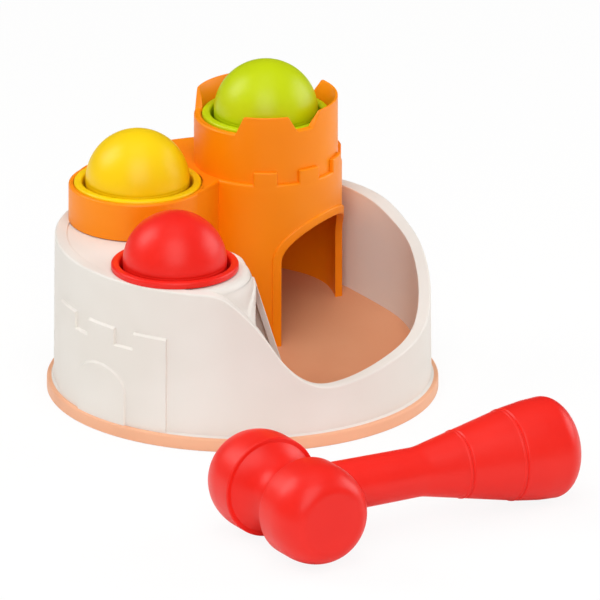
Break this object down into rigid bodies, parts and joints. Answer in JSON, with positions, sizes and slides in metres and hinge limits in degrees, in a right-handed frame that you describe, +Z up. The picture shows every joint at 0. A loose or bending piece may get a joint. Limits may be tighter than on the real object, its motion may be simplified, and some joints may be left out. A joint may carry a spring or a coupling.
{
  "type": "ball pounding toy",
  "caption": "Round moulded castle with ball stations at stepped heights, a sloped tray that returns pounded balls through arched doors, and a double-headed toddler hammer.",
  "frame": {"origin": "centre of the round base's underside, on the ground", "axes": "+Z up, +Y from the hammer's side towards the tall tower, +X towards the open tray"},
  "size_m": [0.2474, 0.3509, 0.141],
  "materials": {
    "salmon_plastic": "satin moulded plastic, peach",
    "white_plastic": "satin moulded plastic, warm white",
    "orange_plastic": "semi-gloss moulded plastic, orange",
    "green_plastic": "semi-gloss moulded plastic, lime",
    "yellow_plastic": "semi-gloss moulded plastic, yellow",
    "red_plastic": "semi-gloss moulded plastic, red",
    "green_soft": "soft elastomer, lime",
    "yellow_soft": "soft elastomer, yellow",
    "red_soft": "soft elastomer, red",
    "screw_steel": "zinc-plated steel"
  },
  "bodies": {
    "castle": {"base_plate": "salmon_plastic", "ramp_floor": "salmon_plastic", "castle_wall": "white_plastic", "hood_deck": "white_plastic", "castle_body": "orange_plastic", "tower_crown": "orange_plastic", "base_screw_1": "screw_steel", "base_screw_2": "screw_steel", "base_screw_3": "screw_steel", "base_screw_4": "screw_steel", "base_screw_5": "screw_steel", "base_screw_6": "screw_steel", "green_ring": "green_plastic", "green_grip": "green_soft", "yellow_ring": "yellow_plastic", "yellow_grip": "yellow_soft", "red_ring": "red_plastic", "red_grip": "red_soft"},
    "green_ball": {"green_ball_upper": "green_plastic", "green_ball_lower": "green_plastic"},
    "yellow_ball": {"yellow_ball_upper": "yellow_plastic", "yellow_ball_lower": "yellow_plastic"},
    "red_ball": {"red_ball_upper": "red_plastic", "red_ball_lower": "red_plastic"},
    "hammer": {"hammer_waist": "red_plastic", "hammer_cap_front": "red_plastic", "hammer_cap_rear": "red_plastic", "hammer_handle": "red_plastic"}
  },
  "joints": [
    {"name": "green_ball_drop", "type": "slide", "parent": "castle", "child": "green_ball", "axis": [0, 0, 1], "range_m": [-0.069, 0.06], "deforming": ["green_grip"]},
    {"name": "yellow_ball_drop", "type": "slide", "parent": "castle", "child": "yellow_ball", "axis": [0, 0, 1], "range_m": [-0.049, 0.06], "deforming": ["yellow_grip"]},
    {"name": "red_ball_drop", "type": "slide", "parent": "castle", "child": "red_ball", "axis": [0, 0, 1], "range_m": [-0.0405, 0.06], "deforming": ["red_grip"]},
    {"name": "hammer_lift", "type": "slide", "parent": "castle", "child": "hammer", "axis": [0, 0, 1], "range_m": [0, 0.15]}
  ]
}
